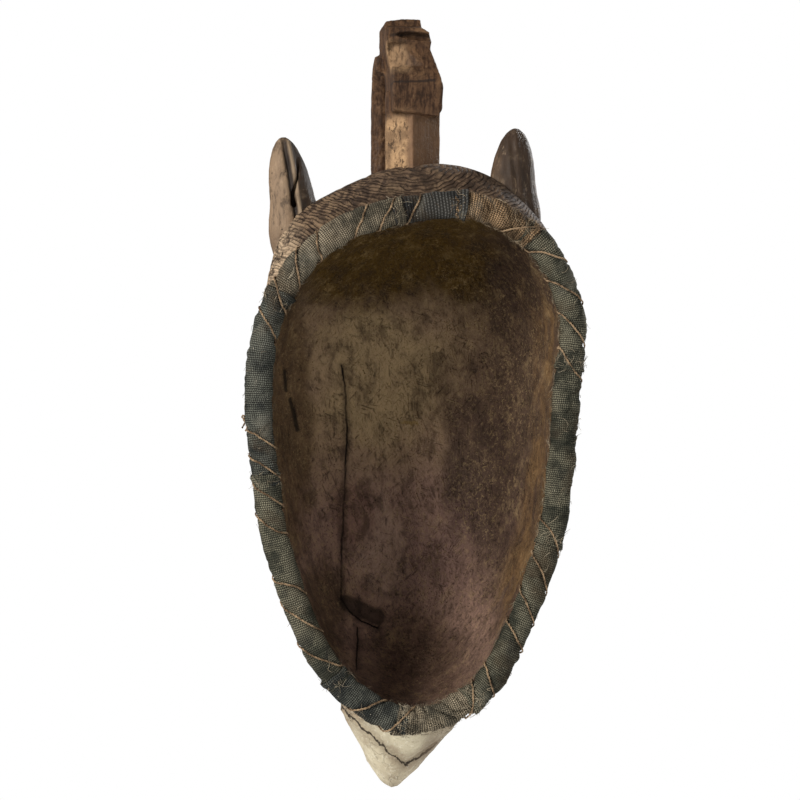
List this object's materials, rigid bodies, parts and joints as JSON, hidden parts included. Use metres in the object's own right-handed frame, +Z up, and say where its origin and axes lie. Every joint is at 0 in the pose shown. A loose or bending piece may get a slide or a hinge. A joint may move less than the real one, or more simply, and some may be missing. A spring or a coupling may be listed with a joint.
{
  "type": "carved wooden mask",
  "caption": "Long wooden face mask with a pointed chin, a carved crest, ear-like horns and a padded, cloth-bound rim.",
  "frame": {"origin": "middle of the rim's outline, on the plane that the padded rim rests on", "axes": "+Z up along the mask towards the crest, -Y out of the face, +Y out of the hollow towards the wearer, +X to the right of someone who faces the mask's front"},
  "size_m": [0.184, 0.1274, 0.4236],
  "materials": {
    "carved_wood": "dry, handled, hand-carved",
    "horn_wood": "dry, worn smooth at the edges",
    "peg_wood": "whittled, raw",
    "indigo_cloth": "coarse dark weave, matt",
    "grey_green_cloth": "coarse faded weave, matt",
    "tan_cloth": "frayed tan weave, matt",
    "rolled_fibre": "loose rolled fibre",
    "bast_twine": "dry twisted twine"
  },
  "bodies": {
    "root": {"mask_shell": "carved_wood", "crest": "carved_wood", "horn_left": "horn_wood", "horn_right": "horn_wood", "peg_left": "peg_wood", "peg_right": "peg_wood", "peg_crest": "peg_wood", "rim_padding": "rolled_fibre", "cloth_top_ribbed": "indigo_cloth", "cloth_upper_left": "grey_green_cloth", "cloth_left": "grey_green_cloth", "cloth_lower_left": "grey_green_cloth", "cloth_bottom_left": "indigo_cloth", "cloth_bottom_ruffled": "grey_green_cloth", "cloth_lower_right": "grey_green_cloth", "cloth_right": "grey_green_cloth", "cloth_upper_right": "grey_green_cloth", "cloth_tan_patch": "tan_cloth", "thread_top": "bast_twine", "thread_upper_left": "bast_twine", "thread_left": "bast_twine", "thread_lower_left": "bast_twine", "thread_bottom_left": "bast_twine", "thread_bottom_right": "bast_twine", "thread_lower_right": "bast_twine", "thread_upper_right": "bast_twine", "knot_left": "bast_twine", "knot_bottom": "bast_twine"}
  },
  "joints": []
}
